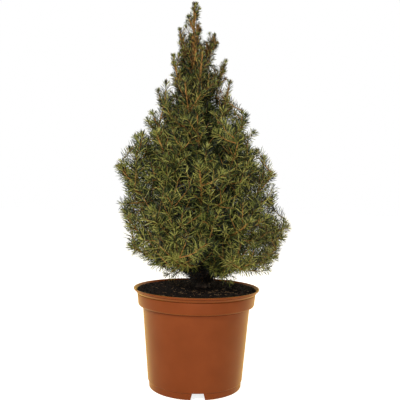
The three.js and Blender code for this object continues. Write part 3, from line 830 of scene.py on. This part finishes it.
def channel_prism(index, start, stop):
    """The space of a drainage channel under the pot, from one distance out to another."""
    half = (CHANNEL["foot"] / 2, CHANNEL["top"] / 2)
    foot, top = half[0] + 0.26, half[1]
    section = [(-foot, -1), (foot, -1), (top, CHANNEL["height"]), (-top, CHANNEL["height"])]
    verts = [(x, y, z) for x in (start, stop) for y, z in section]
    faces = [(3, 2, 1, 0), (4, 5, 6, 7), (0, 1, 5, 4), (1, 2, 6, 5), (2, 3, 7, 6), (3, 0, 4, 7)]
    turn = Matrix.Rotation(math.radians(CHANNEL["turn"] + 360 / CHANNEL["count"] * index), 3, "Z")
    return [tuple(turn @ Vector(v)) for v in verts], faces


def closed_object(name, verts, faces):
    """An object in metres from a closed mesh in millimetres, its faces turned outwards."""
    mesh = bpy.data.meshes.new(name)
    mesh.from_pydata([tuple(MM * c for c in v) for v in verts], [], faces)
    work = bmesh.new()
    work.from_mesh(mesh)
    bmesh.ops.recalc_face_normals(work, faces=work.faces)
    work.to_mesh(mesh)
    work.free()
    made = bpy.data.objects.new(name, mesh)
    bpy.context.scene.collection.objects.link(made)
    return made


# Least and greatest height, and least radius, of the creases where the plastic is painted darker as shade: at
# the foot ring, under the band, in the groove and under the rolled lip.
SHADE_CREASES = ((9.3, 10.1, 69), (118.2, 122.6, 80), (139.6, 140.9, 88), (144.2, 145.3, 92))


SEGMENTS = 224  # faces round the pot
SHARP = math.radians(32)


def pot_profile():
    """The pot's section: up its outside from the foot, over the lip and down its inside."""
    p, w = POT, POT["wall"]
    return [
        (0, 0, 0), (p["foot"] - 0.8, 0, 0.8), (p["foot"], 1.2, 0.8),
        (p["foot"] + 0.3, p["shin_height"] - 1.2, 0.3), (p["shin"], p["shin_height"], 0.5),
        (p["body"], p["body_top"] - 0.6, 0.8), (p["body"] + 0.6, p["body_top"], 0.4),
        (p["band"] - 0.9, p["band_foot"] - 1.2, 0.6), (p["band"], p["band_foot"] + 0.4, 0.8),
        (p["neck"], p["neck_height"] - 0.5, 0.2), (p["neck"] - 0.9, p["neck_height"] - 0.3, 0.1),
        (p["neck"] - 0.9, p["neck_height"] + 0.7, 0.1), (p["neck"] + 0.5, p["neck_height"] + 1.0, 0.3),
        (p["rim"] - 2.2, p["height"] - 3.6, 0.8), (p["rim"] - 2.2, p["height"] - 2.9, 0.1),
        (p["rim"] - 0.7, p["height"] - 2.5, 0.4), (p["rim"], p["height"] - 1.4, 0.6),
        (p["rim"] - 0.1, p["height"], 0.5),
        (p["rim"] - 1.6, p["height"], 0.5), (p["rim"] - 3.2, p["height"] - 2.2, 1.2),
        (p["neck"] - w + 0.2, p["neck_height"] + 0.6, 1.0), (p["band"] - w, p["band_foot"] + 0.8, 0.8),
        (p["body"] - w, p["body_top"] + 0.8, 0.8), (p["shin"] - w, p["shin_height"] + 0.8, 0.6),
        (p["foot"] - w, p["floor"], 0.8), (0, p["floor"], 0),
    ]


def lathe(line):
    """Vertices and faces of a closed profile turned round the middle, where its two ends lie."""
    turn = np.arange(SEGMENTS) * 2 * np.pi / SEGMENTS
    verts, rings = [], []
    for r, z in line:
        if r == 0:
            rings.append([len(verts)] * SEGMENTS)
            verts.append((0, 0, z))
        else:
            rings.append(list(range(len(verts), len(verts) + SEGMENTS)))
            verts += [(r * math.cos(t), r * math.sin(t), z) for t in turn]
    faces = []
    for low, high in zip(rings, rings[1:]):
        for k in range(SEGMENTS):
            n = (k + 1) % SEGMENTS
            corners = [low[k], low[n], high[n], high[k]]
            faces.append([c for i, c in enumerate(corners) if c not in corners[:i]])
    return verts, faces


def make_pot():
    """The pot's shell with its drainage channels cut, its edges eased and its creases painted darker as shade.
    """
    pot = closed_object("pot_shell", *lathe(rounded(pot_profile())))
    cutters = [
        closed_object("cut", *channel_prism(i, CHANNEL["inner"], POT["rim"])) for i in range(CHANNEL["count"])
    ]
    for cutter in cutters:
        step = pot.modifiers.new("cut", "BOOLEAN")
        step.operation, step.solver, step.object = "DIFFERENCE", "EXACT", cutter
    edge = pot.modifiers.new("edge", "BEVEL")
    edge.width, edge.segments, edge.limit_method, edge.angle_limit = 0.2 * MM, 2, "ANGLE", math.radians(50)
    made = bpy.data.meshes.new_from_object(pot.evaluated_get(bpy.context.evaluated_depsgraph_get()))
    pot.modifiers.clear()
    pot.data = made
    for cutter in cutters:
        bpy.data.objects.remove(cutter)
    made.polygons.foreach_set("use_smooth", np.full(len(made.polygons), True))
    work = bmesh.new()
    work.from_mesh(made)
    for e in work.edges:
        e.smooth = len(e.link_faces) != 2 or e.calc_face_angle(0) < SHARP
    work.to_mesh(made)
    work.free()
    made.materials.clear()
    for material in (pot_plastic, pot_painted_shade):
        made.materials.append(material)
    # Faces in the creases that don't face up take the painted shade.
    for face in made.polygons:
        x, y, z = face.center / MM
        painted_shade = any(low < z < high and math.hypot(x, y) > least for low, high, least in SHADE_CREASES)
        face.material_index = painted_shade and face.normal.z < 0.5
    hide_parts("pot")
    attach(pot, "root")


make_pot()


# ---- Compost -----------------------------------------------------------------------------------------


SPREAD = 90.2  # radius where the compost meets the flared lip


def soil_height(x, y):
    """The compost's surface before its crumbs: domed, and lower at the wall."""
    r = np.hypot(x, y)
    heights = [SOIL["crown"], SOIL["crown"] - 1.4, SOIL["edge"] + 0.6]
    return np.interp(r, [SOIL["seat"], 0.72 * SPREAD, SPREAD], heights)


def make_soil():
    """The compost's crumbly surface."""
    rings, columns = 90, 260
    r = np.linspace(0.5, SPREAD, rings)
    turn = np.arange(columns) * 2 * np.pi / columns
    rr, tt = np.meshgrid(r, turn, indexing="ij")
    x, y = rr * np.cos(tt), rr * np.sin(tt)
    relief = np.array([
        field.fractal(Vector((a * 0.16, b * 0.16, 3.1)), 0.7, 2.2, 6) for a, b in zip(x.ravel(), y.ravel())
    ]).reshape(x.shape)
    z = soil_height(x, y) + 0.7 + 0.9 * relief
    verts = np.stack([x, y, z], -1).reshape(-1, 3)
    verts = np.concatenate([verts, [[0, 0, SOIL["crown"] + 0.6]]])
    quads = grid_quads(rings, columns)
    faces = np.concatenate([quads[:, [0, 3, 2]], quads[:, [0, 2, 1]]])
    k = np.arange(columns)
    fan = np.stack([np.full(columns, len(verts) - 1), k, (k + 1) % columns], -1)
    make_piece("soil_surface", verts, np.concatenate([faces, fan]), [peat])


def scattered(count, inner, outer):
    """Places on the compost, spread evenly between two radii."""
    r = np.sqrt(rng.uniform(inner**2, outer**2, count))
    t = rng.uniform(0, 2 * np.pi, count)
    x, y = r * np.cos(t), r * np.sin(t)
    return np.stack([x, y, soil_height(x, y)], -1)


def lumps(name, places, sizes, flat, material):
    """Irregular crumbs: octahedra pulled out of shape, turned and tipped."""
    count = len(places)
    corners = np.array([[1, 0, 0], [0, 1, 0], [-1, 0, 0], [0, -1, 0], [0, 0, 1], [0, 0, -1]], float)
    shape = corners[None] * rng.uniform(0.6, 1.25, (count, 6, 1)) + rng.normal(0, 0.18, (count, 6, 3))
    shape = shape * (sizes[:, None] * np.array([1, 1, flat]))[:, None]
    turn = rng.uniform(0, 2 * np.pi, count)
    tip = rng.normal(0, 0.35, count)
    c, s = np.cos(turn)[:, None], np.sin(turn)[:, None]
    x, y = shape[..., 0] * c - shape[..., 1] * s, shape[..., 0] * s + shape[..., 1] * c
    z = shape[..., 2] + x * np.sin(tip)[:, None]
    verts = (places[:, None] + np.stack([x, y, z], -1)).reshape(-1, 3)
    pattern = np.array([
        [4, 0, 1], [4, 1, 2], [4, 2, 3], [4, 3, 0], [5, 1, 0], [5, 2, 1], [5, 3, 2], [5, 0, 3],
    ])
    faces = (np.arange(count)[:, None, None] * 6 + pattern).reshape(-1, 3)
    make_piece(name, verts, faces, [material], smooth=False)


def dress_soil():
    """Crumbs, bark chips and pale fibres on the compost."""
    reach = SPREAD - 2
    crumbs = scattered(5200, 8, reach)
    crumbs += UP * rng.uniform(0.3, 1.4, len(crumbs))[:, None]
    lumps("soil_crumbs", crumbs, rng.uniform(0.5, 1.5, len(crumbs)), 0.8, peat)
    chips = scattered(330, 12, reach)
    lumps("bark_chips", chips + UP * 1.2, rng.uniform(1.0, 3.2, len(chips)), 0.35, chip)
    fibres = scattered(110, 10, reach) + UP * 1.6
    fibres[:60, :2] = rng.normal((14, -46), (22, 14), (60, 2))  # most lie in front of the trunk
    lie = rng.uniform(0, 2 * np.pi, len(fibres))
    run = np.stack([np.cos(lie), np.sin(lie), rng.normal(0, 0.15, len(fibres))], -1)
    run *= rng.uniform(3, 10, len(fibres))[:, None]
    verts, faces = prongs(fibres, fibres + run, np.full(len(fibres), 0.2), 0.5)
    make_piece("straw_bits", verts, faces, [straw])


make_soil()
dress_soil()

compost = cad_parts["compost"]
compost.data.materials.clear()
compost.data.materials.append(peat)

# ---- Camera, light and floor -------------------------------------------------------------------------

LENS = 50.3
DISTANCE = 850  # from the pot's axis
EYE = 285  # the camera's height
ROLL = 1.1
AXIS_SHIFT = 2.7  # the pot's axis stands a little left of the picture's middle
TILT = 0.29  # the camera looks down by this much

camera = bpy.data.objects.new("camera", bpy.data.cameras.new("camera"))
bpy.context.scene.collection.objects.link(camera)
camera.data.lens = LENS
camera.data.sensor_width = 36
camera.data.clip_end = 20
camera.matrix_world = (
    Matrix.Translation(Vector((AXIS_SHIFT, -DISTANCE, EYE)) * MM)
    @ Matrix.Rotation(math.radians(90 - TILT), 4, "X")
    @ Matrix.Rotation(math.radians(ROLL), 4, "Z")
)
bpy.context.scene.camera = camera


WARM = (1, 0.86, 0.6)


def area_light(name, place, target, size, watts, tone=(1, 1, 1)):
    """A square lamp at a place in metres, turned to its target."""
    light = bpy.data.lights.new(name, "AREA")
    light.shape, light.size, light.energy, light.color = "SQUARE", size, watts, tone
    lamp = bpy.data.objects.new(name, light)
    lamp.location = place
    lamp.rotation_mode = "QUATERNION"
    lamp.rotation_quaternion = (Vector(target) - Vector(place)).to_track_quat("-Z", "Y")
    bpy.context.scene.collection.objects.link(lamp)


area_light("key", (-0.75, -1.35, 1.25), (0, 0, 0.33), 0.3, 17)
area_light("front", (0.25, -1.7, 0.5), (0, 0, 0.3), 0.9, 8)
area_light("left_rim", (-1.1, 0.7, 0.55), (0, 0, 0.33), 0.8, 4, WARM)
area_light("right_rim", (1.1, 0.7, 0.55), (0, 0, 0.33), 0.8, 9, WARM)

# A studio that is white to the camera, and dimmer, warmer and brighter from behind to the rest.
world = bpy.data.worlds.new("studio")
bpy.context.scene.world = world
world.use_nodes = True
nodes, links = world.node_tree.nodes, world.node_tree.links
sky = nodes["Background"]
where = nodes.new("ShaderNodeTexCoord")
parts = nodes.new("ShaderNodeSeparateXYZ")
links.new(where.outputs["Generated"], parts.inputs["Vector"])
shade = nodes.new("ShaderNodeMapRange")
shade.inputs["From Min"].default_value, shade.inputs["From Max"].default_value = -0.1, 0.6
shade.inputs["To Min"].default_value, shade.inputs["To Max"].default_value = 0.12, 0.75
links.new(parts.outputs["Y"], shade.inputs["Value"])
seen = nodes.new("ShaderNodeLightPath")
pick = nodes.new("ShaderNodeMix")
pick.data_type = "FLOAT"
links.new(seen.outputs["Is Camera Ray"], pick.inputs["Factor"])
links.new(shade.outputs["Result"], pick.inputs["A"])
pick.inputs["B"].default_value = 1.0
links.new(pick.outputs["Result"], sky.inputs["Strength"])
hue = nodes.new("ShaderNodeMix")
hue.data_type = "RGBA"
links.new(seen.outputs["Is Camera Ray"], hue.inputs["Factor"])
hue.inputs["A"].default_value, hue.inputs["B"].default_value = (1, 0.92, 0.76, 1), (1, 1, 1, 1)
links.new(hue.outputs["Result"], sky.inputs["Color"])

# White paper, which glows to the camera so that it meets the background without an edge.
floor_mesh = bpy.data.meshes.new("floor")
floor_mesh.from_pydata([(-9, -9, 0), (9, -9, 0), (9, 9, 0), (-9, 9, 0)], [], [(0, 1, 2, 3)])
paper = plain("floor", (246, 246, 246), 0.9, 0.2)
nodes, links = paper.node_tree.nodes, paper.node_tree.links
nodes["Principled BSDF"].inputs["Emission Color"].default_value = (1, 1, 1, 1)
seen = nodes.new("ShaderNodeLightPath")
glow = nodes.new("ShaderNodeMapRange")
glow.inputs["To Min"].default_value, glow.inputs["To Max"].default_value = 0.2, 0.8
links.new(seen.outputs["Is Camera Ray"], glow.inputs["Value"])
links.new(glow.outputs["Result"], nodes["Principled BSDF"].inputs["Emission Strength"])
floor_mesh.materials.append(paper)
floor = bpy.data.objects.new("floor", floor_mesh)
bpy.context.scene.collection.objects.link(floor)

bpy.context.scene.view_settings.view_transform = "Standard"
